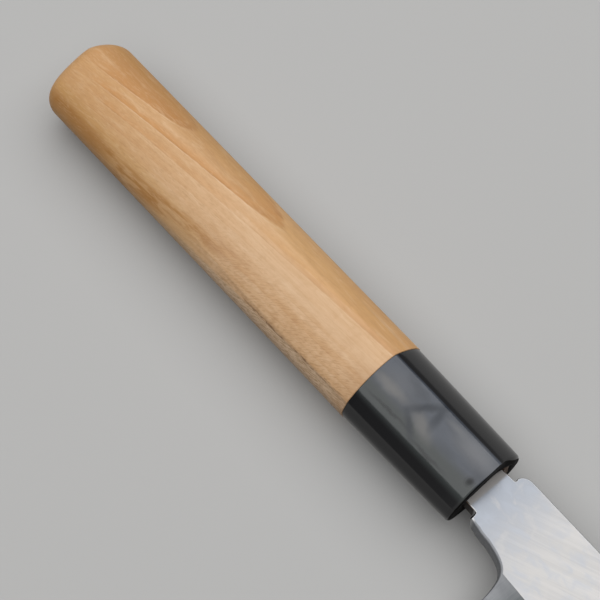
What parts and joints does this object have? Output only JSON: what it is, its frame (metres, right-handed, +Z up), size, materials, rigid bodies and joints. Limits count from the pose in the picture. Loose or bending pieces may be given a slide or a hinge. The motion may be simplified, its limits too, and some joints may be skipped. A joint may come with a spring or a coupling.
{
  "type": "yanagiba knife",
  "caption": "Long single-bevel slicing knife: narrow laminated blade with a hidden tang, black horn ferrule and plain wooden handle of chestnut section, for slicing raw fish",
  "frame": {"origin": "under the middle of the knife's box, on the plane that the butt of the handle lies on", "axes": "X runs from the butt to the tip, Y from the cutting edge to the spine, Z up out of the bevelled side of the blade"},
  "size_m": [0.4184, 0.0352, 0.0198],
  "materials": {
    "iron": "satin, with fine grinding lines across the blade",
    "steel": "finely honed",
    "horn": "polished black horn with faint marbling",
    "magnolia": "bare sanded wood",
    "resin": "dull dark brown"
  },
  "bodies": {
    "root": {"blade_body": "iron", "edge_steel": "steel", "ferrule": "horn", "handle_body": "magnolia", "tang_bedding": "resin", "mouth_filler": "resin"}
  },
  "joints": []
}
